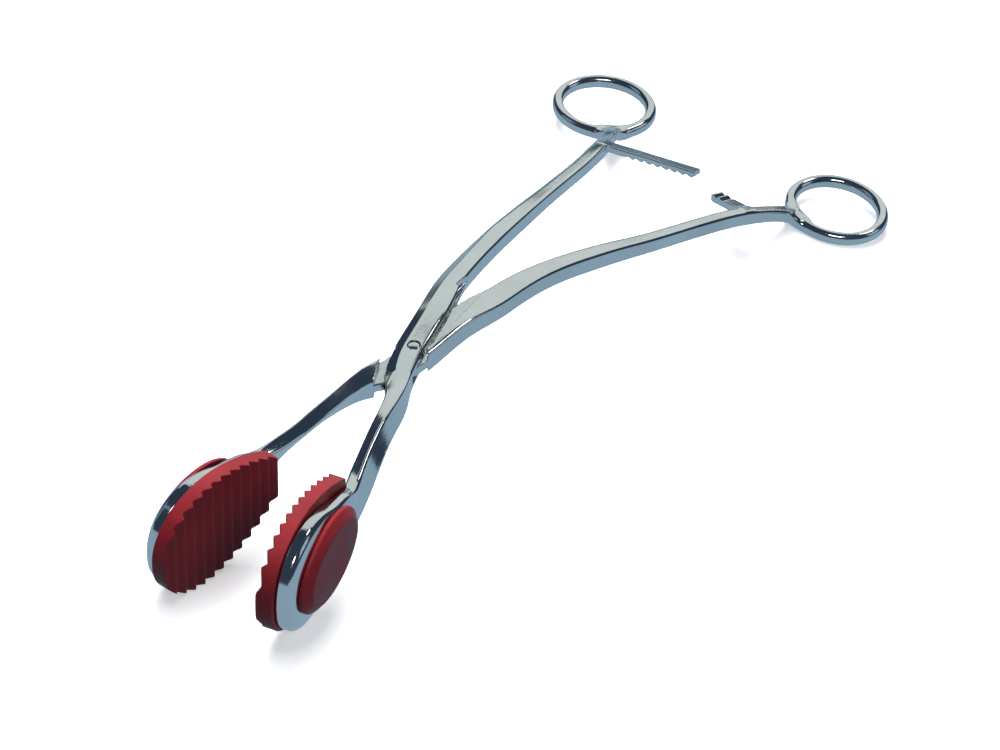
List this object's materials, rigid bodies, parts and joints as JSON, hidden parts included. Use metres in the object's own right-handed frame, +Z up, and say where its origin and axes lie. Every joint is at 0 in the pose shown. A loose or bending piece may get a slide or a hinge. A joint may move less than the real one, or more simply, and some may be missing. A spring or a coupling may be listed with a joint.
{
  "type": "box-lock ring-handled tongs",
  "caption": "Ring-handled tongs with a box lock, ratchet bars and ribbed rubber pads on oval jaws.",
  "frame": {"origin": "centre of the overall box, at the bottom, on the table the tool lies on", "axes": "+X along the tool from the jaws towards the finger rings, +Y towards the box arm's ring, +Z up from the table"},
  "size_m": [0.2694, 0.1008, 0.0375],
  "materials": {
    "polished_steel": "mirror-polished stainless steel with fine hairline scratches",
    "red_rubber": "smooth moulded red rubber, slightly glossy"
  },
  "bodies": {
    "box_side": {"box_arm": "polished_steel", "pivot_pin": "polished_steel", "box_arm_pad": "red_rubber"},
    "insert_side": {"insert_arm": "polished_steel", "insert_arm_pad": "red_rubber"}
  },
  "joints": [
    {"name": "lock_hinge", "type": "hinge", "parent": "box_side", "child": "insert_side", "pos_m": [-0.04561, 0, 0.0317], "axis": [-0.1709, 0, 0.9853], "range_deg": [-25.8, 11.7]}
  ]
}
